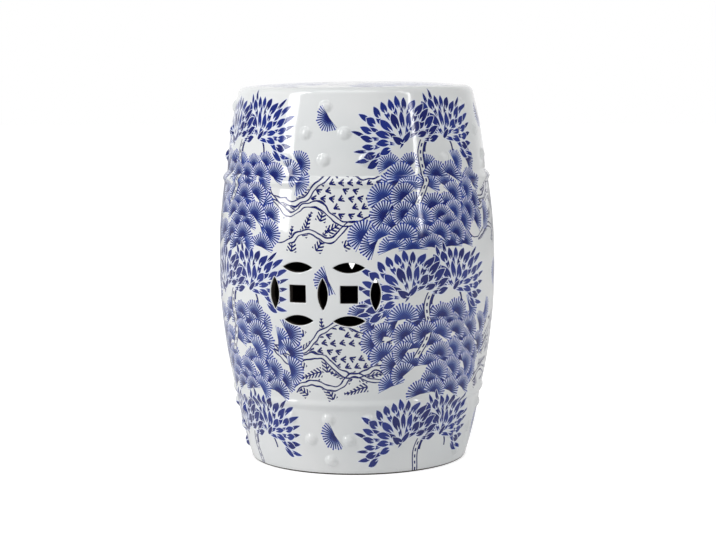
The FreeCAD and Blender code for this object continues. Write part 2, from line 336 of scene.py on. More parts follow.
# Sprigs: twigs 29 mm long with paired leaflets, which turn every way beside the coins. A sprig
# is drawn whole where the middle of its cell lies within the limits.
SPRIG_LAYERS = ((0.0, 0.0, 11.0), (0.5, 0.5, 12.0))
SPRIG_CELLS = 7
SPRIG_CELL_HEIGHT = 35.0
SPRIG_TURN = 2.0
SPRIG_MIDDLE = 0.5
SPRIG_HALF_LENGTH = 14.5
SPRIG_SWING = 2.2
SPRIG_WAVES = 0.13
SPRIG_STEM_HALF_WIDTH = 0.8
LEAFLET_PITCH = 4.6
LEAFLET_FORWARD = 0.9
LEAFLET_SHARE = 0.27
SPRIG_FOOT = (-12.0, 6.2)
SPRIG_TIP = (15.0, 1.5)
SPRIGS_UP_SHEET = (118.0, 44.0)
SPRIGS_ASIDE = (0.52, 0.22)
SPRIGS_UP_WALL = (215.0, 125.0)

sprigs, given, made = print_group("sprigs", ("Across", "Up", "Seed"))
grid, chance, middle_u, middle_v = scattered(sprigs, given, SPRIG_CELLS, SPRIG_CELL_HEIGHT)
spot = from_middle(sprigs, grid, COLUMN_WIDTH / SPRIG_CELLS, SPRIG_CELL_HEIGHT)
turn = chance.node.outputs["Value"]
turn = add(sprigs, "Math", {0: turn, 1: 2 * SPRIG_TURN, 2: -SPRIG_TURN}, operation="MULTIPLY_ADD")
spot = add(sprigs, "VectorRotate", {"Vector": spot, "Angle": turn}, rotation_type="Z_AXIS")
aside = add(sprigs, "SeparateXYZ", {0: spot})
along = aside.node.outputs[1]
bend = add(sprigs, "Math", {0: along, 1: SPRIG_WAVES}, operation="MULTIPLY")
bend = add(sprigs, "Math", {0: bend}, operation="SINE")
aside = add(sprigs, "Math", {0: bend, 1: SPRIG_SWING, 2: aside}, operation="MULTIPLY_ADD")
aside = add(sprigs, "Math", {0: aside}, operation="ABSOLUTE")
stem = add(sprigs, "Math", {0: aside, 1: SPRIG_STEM_HALF_WIDTH}, operation="LESS_THAN")
beat = add(sprigs, "Math", {0: aside, 1: -LEAFLET_FORWARD, 2: along}, operation="MULTIPLY_ADD")
beat = add(sprigs, "Math", {0: beat, 1: 1 / LEAFLET_PITCH}, operation="MULTIPLY")
beat = add(sprigs, "Math", {0: beat, 1: 0.5}, operation="PINGPONG")
leaflet = add(sprigs, "Math", {0: beat, 1: LEAFLET_SHARE}, operation="LESS_THAN")
(foot_at, foot_reach), (tip_at, tip_reach) = SPRIG_FOOT, SPRIG_TIP
taper = add(sprigs, "MapRange", {0: along, 1: foot_at, 2: tip_at, 3: foot_reach, 4: tip_reach})
near_stem = add(sprigs, "Math", {0: aside, 1: taper}, operation="LESS_THAN")
leaflet = add(sprigs, "Math", {0: leaflet, 1: near_stem}, operation="MULTIPLY")
sprig = add(sprigs, "Math", {0: leaflet, 1: stem}, operation="MAXIMUM")
short = add(sprigs, "Math", {0: along, 1: SPRIG_MIDDLE, 2: SPRIG_HALF_LENGTH}, operation="COMPARE")
beside_column = add(sprigs, "Math", {0: middle_u, 1: 0.5}, operation="ADD")
beside_column = add(sprigs, "Math", {0: beside_column}, operation="FRACT")
row = up_sheet(sprigs, middle_v)
there = within(sprigs, [(row, *SPRIGS_UP_SHEET), (beside_column, *SPRIGS_ASIDE),
                        (middle_v, *SPRIGS_UP_WALL)])
for test in (short, there):
    sprig = add(sprigs, "Math", {0: sprig, 1: test}, operation="MULTIPLY")
laid = add(sprigs, "Mix", {0: sprig, 6: given["Under"], 7: DEEP_COBALT}, out=2, data_type="RGBA")
sprigs.links.new(laid, made[0])

# Pine tufts: half discs of 15 needles, 30 to 40 mm wide, solid where the needles meet. They
# spread away from the trunk and overlap, each layer in a 50 mm grid of its own, and fill the
# height between two rows of crowns. One layer also has a lone tuft among the bosses.
LONE_SEED = 2.0
BACK_TUFTS = ((0.0, 0.0, 1.0), (0.5, 0.5, LONE_SEED), (0.0, 0.5, 3.0), (0.5, 0.0, 4.0), (0.25, 0.25, 5.0))
FRONT_TUFTS = ((0.75, 0.75, 6.0), (0.25, 0.75, 7.0), (0.75, 0.25, 8.0))
TUFT_CELLS = 5
TUFT_CELL_HEIGHT = 46.0
TUFT_STRAY = (3.0, 2.0)
TUFT_RADIUS = 15.0
TUFT_RADIUS_SPAN = 5.0
TUFT_ROOT = 0.4
TUFT_HALF_ANGLE = 1.66
TUFT_GROUND = 0.9
OUTWARD_TURN = 3.6
INWARD_TURN = -OUTWARD_TURN / 2 - 0.5
NEEDLES = 15
NEEDLE_LENGTH = 0.87
NEEDLE_LENGTH_SPAN = 0.14
NEEDLES_MERGED = (0.16, 0.5)
NEEDLES_APART = (0.75, 0.26)
TUFTS_UP_SHEET = (121.0, 53.0)
TUFTS_UP_WALL = (230.0, 175.0)
TUFTS_SPREAD = 0.2
TUFTS_SPREAD_SPAN = 0.24
TUFTS_LEFT_OUT = 0.15
LONE_UP_SHEET = (27.0, 12.0)
LONE_ASIDE = (0.0, 0.05)

tufts, given, made = print_group("pine tufts", ("Across", "Up", "Seed"))
grid, chance, middle_u, middle_v = scattered(tufts, given, TUFT_CELLS, TUFT_CELL_HEIGHT)
spot = from_middle(tufts, grid, COLUMN_WIDTH / TUFT_CELLS, TUFT_CELL_HEIGHT)
spot = strayed(tufts, spot, chance, *TUFT_STRAY)
size_chance = chance.node.outputs["Value"]
share_u = add(tufts, "SeparateColor", {0: chance})
share_v, share_turn = share_u.node.outputs[1], share_u.node.outputs[2]
middle_u = add(tufts, "Math", {0: middle_u}, operation="FRACT")
outward = add(tufts, "Math", {0: middle_u, 1: OUTWARD_TURN, 2: INWARD_TURN}, operation="MULTIPLY_ADD")
turn = add(tufts, "Math", {0: share_turn, 1: outward}, operation="ADD")
spot = add(tufts, "VectorRotate", {"Vector": spot, "Angle": turn}, rotation_type="Z_AXIS")
radius = add(tufts, "Math", {0: size_chance, 1: TUFT_RADIUS_SPAN, 2: TUFT_RADIUS}, operation="MULTIPLY_ADD")
root = add(tufts, "Math", {0: radius, 1: TUFT_ROOT}, operation="MULTIPLY")
root = add(tufts, "CombineXYZ", {1: root})
spot = add(tufts, "VectorMath", {0: spot, 1: root}, operation="ADD")
reach = add(tufts, "VectorMath", {0: spot}, out="Value", operation="LENGTH")
along = add(tufts, "Math", {0: reach, 1: radius}, operation="DIVIDE")
spot = add(tufts, "SeparateXYZ", {0: spot})
angle = add(tufts, "Math", {0: spot, 1: spot.node.outputs[1]}, operation="ARCTAN2")
fan = add(tufts, "Math", {0: angle, 1: 0.0, 2: TUFT_HALF_ANGLE}, operation="COMPARE")
count = add(tufts, "Math", {0: angle, 1: NEEDLES / math.pi}, operation="MULTIPLY")
gap = add(tufts, "Math", {0: count, 1: 0.5}, operation="PINGPONG")
needle_key = add(tufts, "Math", {0: count}, operation="ROUND")
needle_key = add(tufts, "CombineXYZ", {0: needle_key, 1: size_chance})
length = add(tufts, "TexWhiteNoise", {"Vector": needle_key}, noise_dimensions="2D")
length = add(tufts, "Math", {0: length, 1: NEEDLE_LENGTH_SPAN, 2: NEEDLE_LENGTH}, operation="MULTIPLY_ADD")
long_enough = add(tufts, "Math", {0: along, 1: length}, operation="LESS_THAN")
(merged_at, merged_width), (apart_at, apart_width) = NEEDLES_MERGED, NEEDLES_APART
needle_width = add(tufts, "MapRange", {0: along, 1: merged_at, 2: apart_at, 3: merged_width, 4: apart_width})
needle = add(tufts, "Math", {0: gap, 1: needle_width}, operation="LESS_THAN")
needle = add(tufts, "Math", {0: needle, 1: long_enough}, operation="MULTIPLY")
ground = add(tufts, "Math", {0: along, 1: TUFT_GROUND}, operation="LESS_THAN")
row = up_sheet(tufts, middle_v)
spread = add(tufts, "Math", {0: share_v, 1: TUFTS_SPREAD_SPAN, 2: TUFTS_SPREAD}, operation="MULTIPLY_ADD")
there = within(tufts, [(row, *TUFTS_UP_SHEET), (middle_u, 0.5, spread), (middle_v, *TUFTS_UP_WALL)])
kept = add(tufts, "Math", {0: share_u, 1: TUFTS_LEFT_OUT}, operation="GREATER_THAN")
there = add(tufts, "Math", {0: there, 1: kept}, operation="MULTIPLY")
lone = within(tufts, [(given["Seed"], LONE_SEED, 0.1), (row, *LONE_UP_SHEET), (middle_u, *LONE_ASIDE)])
there = add(tufts, "Math", {0: there, 1: lone}, operation="MAXIMUM")
cover = add(tufts, "Math", {0: needle, 1: ground}, operation="MAXIMUM")
for test in (fan, there):
    cover = add(tufts, "Math", {0: cover, 1: test}, operation="MULTIPLY")
shade = add(tufts, "ValToRGB", {0: along})
shade.node.color_ramp.elements[0].position = 0.7
shade.node.color_ramp.elements[0].color = DEEP_COBALT
shade.node.color_ramp.elements[1].position = 1.0
shade.node.color_ramp.elements[1].color = linear("2F51AA")
shade.node.color_ramp.elements.new(0.95).color = MID_COBALT
# Half of the tufts are fainter, by up to a quarter
faded = add(tufts, "MapRange", {0: share_turn, 1: 0.5, 2: 1.0, 3: 0.0, 4: 0.25})
shade = add(tufts, "Mix", {0: faded, 6: shade, 7: PALE_COBALT}, out=2, data_type="RGBA")
between = add(tufts, "ValToRGB", {0: along})
between.node.color_ramp.elements[0].position = 0.16
between.node.color_ramp.elements[0].color = MID_COBALT
between.node.color_ramp.elements[1].position = 0.74
between.node.color_ramp.elements[1].color = linear("DADFF3")
between.node.color_ramp.elements.new(0.32).color = PALE_COBALT
between.node.color_ramp.elements.new(0.5).color = FAINT_COBALT
tuft = add(tufts, "Mix", {0: needle, 6: between, 7: shade}, out=2, data_type="RGBA")
laid = add(tufts, "Mix", {0: cover, 6: given["Under"], 7: tuft}, out=2, data_type="RGBA")
tufts.links.new(laid, made[0])

# Trunks: two wavering lines 7 mm apart with dashes of bark between them, below each crown. One
# bough arches from the trunk's head, under the leaves. Heights count from TRUNK_DROP below
# the foot of the crown's sheet.
TRUNK_DROP = 90.0
TRUNK_WAVES = 0.085
TRUNK_SWING = 5.0
TRUNK_LEAN = 0.2
TRUNK_ASIDE = 21.0
TRUNK_HALF_WIDTH = 4.5
TRUNK_UP = (66.0, 38.0)
BARK_LINE_ASIDE = 3.6
BARK_LINE_HALF_WIDTH = 0.9
BARK_DASH_HALF_WIDTH = 1.1
BARK_DASH_PITCH = 8.0
BOUGH_CENTRE = (20.0, TRUNK_DROP, 0.0)
BOUGH_RADIUS = 22.0
BOUGH_HALF_WIDTH = 1.3

trunks, given, made = print_group("trunks")
x = across_sheet(trunks, given["Column"])
y = up_sheet(trunks, given["Height"], TRUNK_DROP)
bend = add(trunks, "Math", {0: y, 1: TRUNK_WAVES}, operation="MULTIPLY")
bend = add(trunks, "Math", {0: bend}, operation="SINE")
bend = add(trunks, "Math", {0: bend, 1: TRUNK_SWING, 2: x}, operation="MULTIPLY_ADD")
lean = add(trunks, "Math", {0: y, 1: -TRUNK_LEAN, 2: TRUNK_ASIDE}, operation="MULTIPLY_ADD")
aside = add(trunks, "Math", {0: bend, 1: lean}, operation="ADD")
aside = add(trunks, "Math", {0: aside}, operation="ABSOLUTE")
bark = add(trunks, "Math", {0: aside, 1: BARK_LINE_ASIDE, 2: BARK_LINE_HALF_WIDTH}, operation="COMPARE")
dash = add(trunks, "Math", {0: aside, 1: BARK_DASH_HALF_WIDTH}, operation="LESS_THAN")
beat = add(trunks, "Math", {0: y, 1: 1 / BARK_DASH_PITCH}, operation="MULTIPLY")
beat = add(trunks, "Math", {0: beat}, operation="FRACT")
beat = add(trunks, "Math", {0: beat, 1: 0.5}, operation="LESS_THAN")
dash = add(trunks, "Math", {0: dash, 1: beat}, operation="MULTIPLY")
inked = add(trunks, "Math", {0: bark, 1: dash}, operation="MAXIMUM")
shade = add(trunks, "Mix", {0: inked, 6: WHITE_SLIP, 7: DEEP_COBALT}, out=2, data_type="RGBA")
cover = add(trunks, "Math", {0: aside, 1: TRUNK_HALF_WIDTH}, operation="LESS_THAN")
there = within(trunks, [(y, *TRUNK_UP)])
cover = add(trunks, "Math", {0: cover, 1: there}, operation="MULTIPLY")
laid = add(trunks, "Mix", {0: cover, 6: given["Under"], 7: shade}, out=2, data_type="RGBA")
from_bough = add(trunks, "CombineXYZ", {0: x, 1: y})
from_bough = add(trunks, "VectorMath", {0: from_bough, 1: BOUGH_CENTRE}, out="Value", operation="DISTANCE")
bough = add(trunks, "Math", {0: from_bough, 1: BOUGH_RADIUS, 2: BOUGH_HALF_WIDTH}, operation="COMPARE")
upper_half = add(trunks, "Math", {0: y, 1: TRUNK_DROP}, operation="GREATER_THAN")
bough = add(trunks, "Math", {0: bough, 1: upper_half}, operation="MULTIPLY")
laid = add(trunks, "Mix", {0: bough, 6: laid, 7: DEEP_COBALT}, out=2, data_type="RGBA")
trunks.links.new(laid, made[0])

# Leafy crowns: two lobes on each trunk, of pointed leaves, 17 by 8 mm, in rings that point
# away from the middle of the lobe, each with a pale notch at its inner end. A lobe has two
# layers, the lower one of slim leaves, and a layer has a side, a shift and a fullness.
CROWN_LAYERS = ((1.0, 0.9, 8.0), (1.0, 0.4, 14.5), (-1.0, 0.65, 8.0), (-1.0, 0.15, 14.5))
LEAF_PITCH = 19.0
LEAF_SPACING = 10.2
LEAF_WARP = 13.0
LEAF_WARPS_PER_MM = 0.03
LEAF_STAGGER = 0.37
LEAF_SLIP = 0.12
LEAF_SHORTER = 1.08
LEAF_BEGUN = 0.03
FULLNESS_SPAN = 3.0
LEAF_HALO = 0.9
NOTCH = 1.25
NOTCH_TAPER = 3.3
LOBE_ASIDE = 30.0
LOBE_HALF_WIDTH = 58.0
LOBE_RISE = 50.0
LOBE_EDGE = 0.9
LOBE_EDGE_SPAN = 0.14
LOBE_DROOP = 0.7
LOBE_BELOW = 30.0
LOBE_STEP = 3.0
FORK_HEIGHT = 14.0

crowns, given, made = print_group("leafy crowns", ("Side", "Shift", "Fullness"))
x = across_sheet(crowns, given["Column"])
x = add(crowns, "Math", {0: given["Side"], 1: -LOBE_ASIDE, 2: x}, operation="MULTIPLY_ADD")
y = up_sheet(crowns, given["Height"], LOBE_BELOW)
y = add(crowns, "Math", {0: y, 1: LOBE_BELOW + FORK_HEIGHT}, operation="SUBTRACT")
y = add(crowns, "Math", {0: given["Side"], 1: -LOBE_STEP, 2: y}, operation="MULTIPLY_ADD")
spot = add(crowns, "CombineXYZ", {0: x, 1: y, 2: given["Side"]})
drift = add(crowns, "TexNoise", {"Vector": spot, "Scale": LEAF_WARPS_PER_MM, "Detail": 0.0}, out="Color")
drift = add(crowns, "VectorMath", {0: drift, 1: (0.5, 0.5, 0.5)}, operation="SUBTRACT")
drift = add(crowns, "VectorMath", {0: drift, 1: (LEAF_WARP, LEAF_WARP, 0.0)}, operation="MULTIPLY")
spot = add(crowns, "VectorMath", {0: spot, 1: drift}, operation="ADD")
spot = add(crowns, "VectorMath", {0: spot, 1: (1.0, 1.0, 0.0)}, operation="MULTIPLY")
reach = add(crowns, "VectorMath", {0: spot}, out="Value", operation="LENGTH")
spot = add(crowns, "SeparateXYZ", {0: spot})
angle = add(crowns, "Math", {0: spot, 1: spot.node.outputs[1]}, operation="ARCTAN2")
ring = add(crowns, "Math", {0: reach, 1: 1 / LEAF_PITCH, 2: given["Shift"]}, operation="MULTIPLY_ADD")
ring_index = add(crowns, "Math", {0: ring}, operation="FLOOR")
ring_reach = add(crowns, "Math", {0: ring_index, 1: given["Shift"]}, operation="SUBTRACT")
ring_reach = add(crowns, "Math", {0: ring_reach, 1: LEAF_PITCH, 2: LEAF_PITCH / 2}, operation="MULTIPLY_ADD")
leaves_round = add(crowns, "Math", {0: ring_reach, 1: 2 * math.pi / LEAF_SPACING}, operation="MULTIPLY")
leaves_round = add(crowns, "Math", {0: leaves_round}, operation="ROUND")
leaf_turn = add(crowns, "Math", {0: 2 * math.pi, 1: leaves_round}, operation="DIVIDE")
stagger = add(crowns, "Math", {0: ring_index, 1: LEAF_STAGGER, 2: given["Shift"]}, operation="MULTIPLY_ADD")
place_round = add(crowns, "Math", {0: angle, 1: leaf_turn}, operation="DIVIDE")
place_round = add(crowns, "Math", {0: place_round, 1: stagger}, operation="ADD")
leaf_index = add(crowns, "Math", {0: place_round}, operation="FLOOR")
leaf_key = add(crowns, "CombineXYZ", {0: ring_index, 1: leaf_index, 2: given["Side"]})
chance = add(crowns, "TexWhiteNoise", {"Vector": leaf_key}, out="Color", noise_dimensions="3D")
share = add(crowns, "SeparateColor", {0: chance})
# A leaf is drawn whole if its middle lies inside the lobe's outline, which droops outwards
middle = add(crowns, "Math", {0: leaf_index, 1: stagger}, operation="SUBTRACT")
middle = add(crowns, "Math", {0: middle, 1: 0.5}, operation="ADD")
middle = add(crowns, "Math", {0: middle, 1: leaf_turn}, operation="MULTIPLY")
middle_x = add(crowns, "Math", {0: middle}, operation="SINE")
middle_x = add(crowns, "Math", {0: middle_x, 1: ring_reach}, operation="MULTIPLY")
middle_y = add(crowns, "Math", {0: middle}, operation="COSINE")
middle_y = add(crowns, "Math", {0: middle_y, 1: ring_reach}, operation="MULTIPLY")
outline = (1 / LOBE_HALF_WIDTH, 1 / LOBE_RISE, 0.0)
middle = add(crowns, "CombineXYZ", {0: middle_x, 1: middle_y})
middle = add(crowns, "VectorMath", {0: middle, 1: outline}, operation="MULTIPLY")
middle = add(crowns, "VectorMath", {0: middle}, out="Value", operation="LENGTH")
edge = chance.node.outputs["Value"]
edge = add(crowns, "Math", {0: edge, 1: LOBE_EDGE_SPAN, 2: LOBE_EDGE}, operation="MULTIPLY_ADD")
there = add(crowns, "Math", {0: middle, 1: edge}, operation="LESS_THAN")
droop = add(crowns, "Math", {0: middle_x, 1: given["Side"]}, operation="MULTIPLY")
droop = add(crowns, "Math", {0: droop, 1: 0.0}, operation="MAXIMUM")
droop = add(crowns, "Math", {0: droop, 1: -LOBE_DROOP, 2: 1.0}, operation="MULTIPLY_ADD")
above = add(crowns, "Math", {0: middle_y, 1: droop}, operation="GREATER_THAN")
there = add(crowns, "Math", {0: there, 1: above}, operation="MULTIPLY")
across = add(crowns, "Math", {0: place_round}, operation="FRACT")
across = add(crowns, "Math", {0: across, 1: 0.5}, operation="SUBTRACT")
across = add(crowns, "Math", {0: across, 1: leaf_turn}, operation="MULTIPLY")
across = add(crowns, "Math", {0: across, 1: reach}, operation="MULTIPLY")
across = add(crowns, "Math", {0: across}, operation="ABSOLUTE")
along = add(crowns, "Math", {0: ring}, operation="FRACT")
along = add(crowns, "Math", {0: share, 1: -LEAF_SLIP, 2: along}, operation="MULTIPLY_ADD")
along = add(crowns, "Math", {0: along, 1: LEAF_SHORTER, 2: LEAF_BEGUN}, operation="MULTIPLY_ADD")
rest = add(crowns, "Math", {0: 1.0, 1: along}, operation="SUBTRACT")
half_width = add(crowns, "Math", {0: along, 1: rest}, operation="MULTIPLY")
full = share.node.outputs[1]
full = add(crowns, "Math", {0: full, 1: FULLNESS_SPAN, 2: given["Fullness"]}, operation="MULTIPLY_ADD")
half_width = add(crowns, "Math", {0: half_width, 1: full}, operation="MULTIPLY")
leaf = add(crowns, "Math", {0: across, 1: half_width}, operation="LESS_THAN")
notch = add(crowns, "Math", {0: along, 1: -NOTCH_TAPER, 2: NOTCH}, operation="MULTIPLY_ADD")
clear = add(crowns, "Math", {0: across, 1: notch}, operation="GREATER_THAN")
leaf = add(crowns, "Math", {0: leaf, 1: clear}, operation="MULTIPLY")
halo = add(crowns, "Math", {0: half_width, 1: LEAF_HALO}, operation="ADD")
halo = add(crowns, "Math", {0: across, 1: halo}, operation="LESS_THAN")
cover = add(crowns, "Math", {0: halo, 1: there}, operation="MULTIPLY")
tone = share.node.outputs[2]
shade = add(crowns, "Mix", {0: tone, 6: DEEP_COBALT, 7: linear("1A2F86")}, out=2, data_type="RGBA")
shade = add(crowns, "Mix", {0: leaf, 6: linear("DDE2F3"), 7: shade}, out=2, data_type="RGBA")
laid = add(crowns, "Mix", {0: cover, 6: given["Under"], 7: shade}, out=2, data_type="RGBA")
crowns.links.new(laid, made[0])

# Printed glaze: a clear, glassy glaze, wet to the eye, over white slip and the cobalt
# transfer. It rolls in slow waves 30 mm long, which bend the lamps' reflections, and is a
# little bluer in patches 110 mm wide, where it pools.
GLAZE_IOR = 1.52
POOLS_PER_M = 9.0
POOL_EDGES = (0.35, 0.65)
POOL_TINT = 0.35
GLAZE_WAVES_PER_M = 32.0
SEAT_ABOVE = 452.5
SEAT_RING_RADIUS = 0.066
SEAT_LEVEL = FIRST_REPEAT + 70.0
SEAT_STRETCH = 160.0

printed_glaze, tree = empty_material("clear glaze over cobalt transfer")
place = add(tree, "TexCoord", {}, out="Object")
apart = add(tree, "SeparateXYZ", {0: place})
behind = add(tree, "Math", {0: apart.node.outputs[1], 1: -1.0}, operation="MULTIPLY")
column = add(tree, "Math", {0: apart, 1: behind}, operation="ARCTAN2")
column = add(tree, "Math", {0: column, 1: COLUMNS / (2 * math.pi)}, operation="MULTIPLY")
up_wall = add(tree, "Math", {0: apart.node.outputs[2], 1: 1000.0}, operation="MULTIPLY")
# On the seat, above SEAT_ABOVE mm, the sheet is laid like a ring and shrinks inwards, with its
# height of SEAT_LEVEL mm at the ring's radius
flat = add(tree, "CombineXYZ", {0: apart, 1: behind})
from_axis = add(tree, "VectorMath", {0: flat}, out="Value", operation="LENGTH")
over_seat = add(tree, "Math", {0: from_axis, 1: 1 / SEAT_RING_RADIUS}, operation="MULTIPLY")
over_seat = add(tree, "Math", {0: over_seat, 1: math.e}, operation="LOGARITHM")
over_seat = add(tree, "Math", {0: over_seat, 1: SEAT_STRETCH, 2: SEAT_LEVEL}, operation="MULTIPLY_ADD")
on_seat = add(tree, "Math", {0: up_wall, 1: SEAT_ABOVE}, operation="GREATER_THAN")
height = add(tree, "Mix", {0: on_seat, 2: up_wall, 3: over_seat}, data_type="FLOAT")
layers = [(sprigs, dict(zip(("Across", "Up", "Seed"), layer))) for layer in SPRIG_LAYERS]
layers += [(banks, {})]
layers += [(tufts, dict(zip(("Across", "Up", "Seed"), layer))) for layer in BACK_TUFTS]
layers += [(trunks, {})]
layers += [(tufts, dict(zip(("Across", "Up", "Seed"), layer))) for layer in FRONT_TUFTS]
layers += [(crowns, dict(zip(("Side", "Shift", "Fullness"), layer))) for layer in CROWN_LAYERS]
drawn = WHITE_SLIP
for drawing, numbers in layers:
    inputs = {"Column": column, "Height": height, "Under": drawn, **numbers}
    drawn = add(tree, "Group", inputs, node_tree=drawing)
pooled = add(tree, "TexNoise", {"Vector": place, "Scale": POOLS_PER_M, "Detail": 2.0}, out=0)
tint = add(tree, "MapRange", {0: pooled, 1: POOL_EDGES[0], 2: POOL_EDGES[1], 3: 0.0, 4: POOL_TINT})
drawn = add(tree, "Mix", {0: tint, 6: drawn, 7: linear("DDE4E6")},
            out=2, data_type="RGBA", blend_type="MULTIPLY")
waves = add(tree, "TexNoise", {"Vector": place, "Scale": GLAZE_WAVES_PER_M, "Detail": 1.0}, out=0)
relief = add(tree, "Bump", {"Height": waves, "Strength": 0.35, "Distance": 0.0006})
glaze = add(tree, "BsdfPrincipled",
            {"Base Color": drawn, "Roughness": 0.09, "IOR": GLAZE_IOR, "Normal": relief})
add(tree, "OutputMaterial", {"Surface": glaze})

# The glaze runs down the foot's outer side, and stops short of the tread
foot_ring = fired(foot, "foot_ring_bare", ["foot_ring"], [printed_glaze, bare_clay_as_shade])
for face in foot_ring.data.polygons:
    outside = face.normal.x * face.center.x + face.normal.y * face.center.y > 0
    # The tread takes the bare clay, whose dark colour is painted shade
    face.material_index = 0 if outside and face.center.z > 0.8 * FOOT_ROUND else 1


def bulged(start, end, bulge):
    """The arc of a wall from one joint to the next, as three points, that stands out by the bulge."""
    run, rise = end[0] - start[0], end[1] - start[1]
    length = math.hypot(run, rise)
    across, height = (start[0] + end[0]) / 2, (start[1] + end[1]) / 2
    return [start, (across + bulge * rise / length, height - bulge * run / length), end]


def inside_of(line):
    """The inner side of a wall that follows its outer line, from the top down."""
    return [(radius - WALL, height) for radius, height in reversed(line)]


def glaze_outside(piece):
    """The glaze and the print are on the outer side, and the clay inside stays bare, its dark colour painted
    shade.
    """
    for face in piece.data.polygons:
        outward = face.normal.x * face.center.x + face.normal.y * face.center.y
        face.material_index = 0 if outward > 0 and abs(face.normal.z) < 0.9 else 1


lower_arc = bulged((FOOT_RADIUS, FOOT_HEIGHT), (LOWER_TOP_RADIUS, LOWER_JOINT_HEIGHT), LOWER_BULGE)
lower_line = along_arc(lower_arc, BAND_POINTS)
lower_course = turn_on_wheel(lower_line + inside_of(lower_line), WHEEL_STEPS)
lower_course = fired(lower_course, "lower_course_glazed", ["lower_course"],
                     [printed_glaze, bare_clay_as_shade])
glaze_outside(lower_course)

# Middle course. The thrown belly, of the same glazed and printed stoneware. Two double
# coins are cut through it while the clay is leather-hard, one in front and one behind, and
# their edges are sponged round. The glaze ends on those round edges; the cut walls beyond
# them take the bare clay, whose dark colour is painted shade for the insides of the openings.

UPPER_JOINT_HEIGHT = 0.345
BELLY_HEIGHT = 0.231
BELLY_RADIUS = 0.1685
BELLY_BASE_RADIUS = 0.1514
BELLY_TOP_RADIUS = 0.1596
BELLY_POINTS = 61
COIN_REACH = 0.0307
COIN_SQUARE = 0.0205
OVAL_LENGTH = 0.0375
OVAL_WIDTH = 0.012
CUT_CORNER = 0.0006
CUT_ROUND = 0.0012
CUT_ROUND_FROM = 8
CUTTER_SPARE = 0.004
PRINT_ENDS = math.cos(math.radians(6))
GLAZE_ENDS = 0.2
FRONT_COINS_HEIGHT = 0.2175
REAR_COINS_HEIGHT = 0.2285
REAR_COINS_TURN = 175.2

belly_arc = [
    (BELLY_BASE_RADIUS, LOWER_JOINT_HEIGHT),
    (BELLY_RADIUS, BELLY_HEIGHT),
    (BELLY_TOP_RADIUS, UPPER_JOINT_HEIGHT),
]
middle_line = along_arc(belly_arc, BELLY_POINTS)

# The glaze over plain slip has the print's whiteness and gloss, without the transfer
plain_glaze, tree = empty_material("clear glaze over white slip")
place = add(tree, "TexCoord", {}, out="Object")
pooled = add(tree, "TexNoise", {"Vector": place, "Scale": POOLS_PER_M, "Detail": 2.0}, out=0)
tone = add(tree, "ValToRGB", {0: pooled})
tone.node.color_ramp.elements[0].position = POOL_EDGES[0]
tone.node.color_ramp.elements[0].color = linear("D6DCDD")
tone.node.color_ramp.elements[1].position = POOL_EDGES[1]
tone.node.color_ramp.elements[1].color = WHITE_SLIP
glaze = add(tree, "BsdfPrincipled", {"Base Color": tone, "Roughness": 0.1, "IOR": GLAZE_IOR})
add(tree, "OutputMaterial", {"Surface": glaze})


def square_cut(outset):
    """The outline of a coin's square, with softened corners, grown all round by the outset."""
    core, grown = COIN_SQUARE / 2 - CUT_CORNER, CUT_CORNER + outset
    points = []
    for quarter in range(4):
        turned = Matrix.Rotation(quarter * math.pi / 2, 2)
        for step in range(5):
            turn = step * math.pi / 8
            points.append(turned @ Vector((core + grown * math.cos(turn), core + grown * math.sin(turn))))
        points += [turned @ Vector((core * (1 - step / 3), core + grown)) for step in range(1, 6)]
    return points


def oval_cut(outset, upright):
    """The outline of a pointed oval, with softened tips, grown all round by the outset."""
    arc_radius = (OVAL_LENGTH ** 2 + OVAL_WIDTH ** 2) / (4 * OVAL_WIDTH)
    centre = arc_radius - OVAL_WIDTH / 2
    core = arc_radius - CUT_CORNER
    tip = math.sqrt(core ** 2 - centre ** 2)
    half_turn = math.asin(tip / core)
    grown = CUT_CORNER + outset
    points = []
    for side in (1, -1):
        for step in range(19):
            turn = half_turn * (step / 9 - 1)
            reach = core + grown
            points.append(side * Vector((reach * math.cos(turn) - centre, reach * math.sin(turn))))
        for step in range(1, 5):
            turn = half_turn + (math.pi - 2 * half_turn) * step / 5
            points.append(side * Vector((grown * math.cos(turn), tip + grown * math.sin(turn))))
    return points if upright else [Vector((-y, x)) for x, y in points]


def lying_oval_cut(outset):
    return oval_cut(outset, False)


def upright_oval_cut(outset):
    return oval_cut(outset, True)


def coin_cuts(centres):
    """Every cut of coins that stand side by side: how far across and up, and its outline."""
    cuts = [(centre, 0.0, square_cut) for centre in centres]
    cuts += [(centre, up, lying_oval_cut) for centre in centres for up in (-COIN_REACH, COIN_REACH)]
    uprights = {round(centre + side, 6) for centre in centres for side in (-COIN_REACH, COIN_REACH)}
    return cuts + [(across, 0.0, upright_oval_cut) for across in sorted(uprights)]


def add_cutters(tools, cuts, thickness, lay):
    """Adds the bodies that the cuts take out, each with a flared mouth that leaves a round edge."""
    turns = [math.radians(CUT_ROUND_FROM + (90 - CUT_ROUND_FROM) * step / 5) for step in range(6)]
    rings = [(CUT_ROUND * (1 - math.sin(turn)), CUT_ROUND * (1 - math.cos(turn))) for turn in turns]
    rings = [(rings[0][0], -CUTTER_SPARE)] + rings + [(0.0, thickness + CUTTER_SPARE)]
    for across, up, outline in cuts:
        loops = []
        for outset, depth in rings:
            corners = [tools.verts.new(lay(across + x, up + y, depth)) for x, y in outline(outset)]
            loops.append([tools.edges.new(pair) for pair in zip(corners, corners[1:] + corners[:1])])
        for outer, inner in zip(loops, loops[1:]):
            bmesh.ops.bridge_loops(tools, edges=outer + inner)
        bmesh.ops.holes_fill(tools, edges=loops[0] + loops[-1])


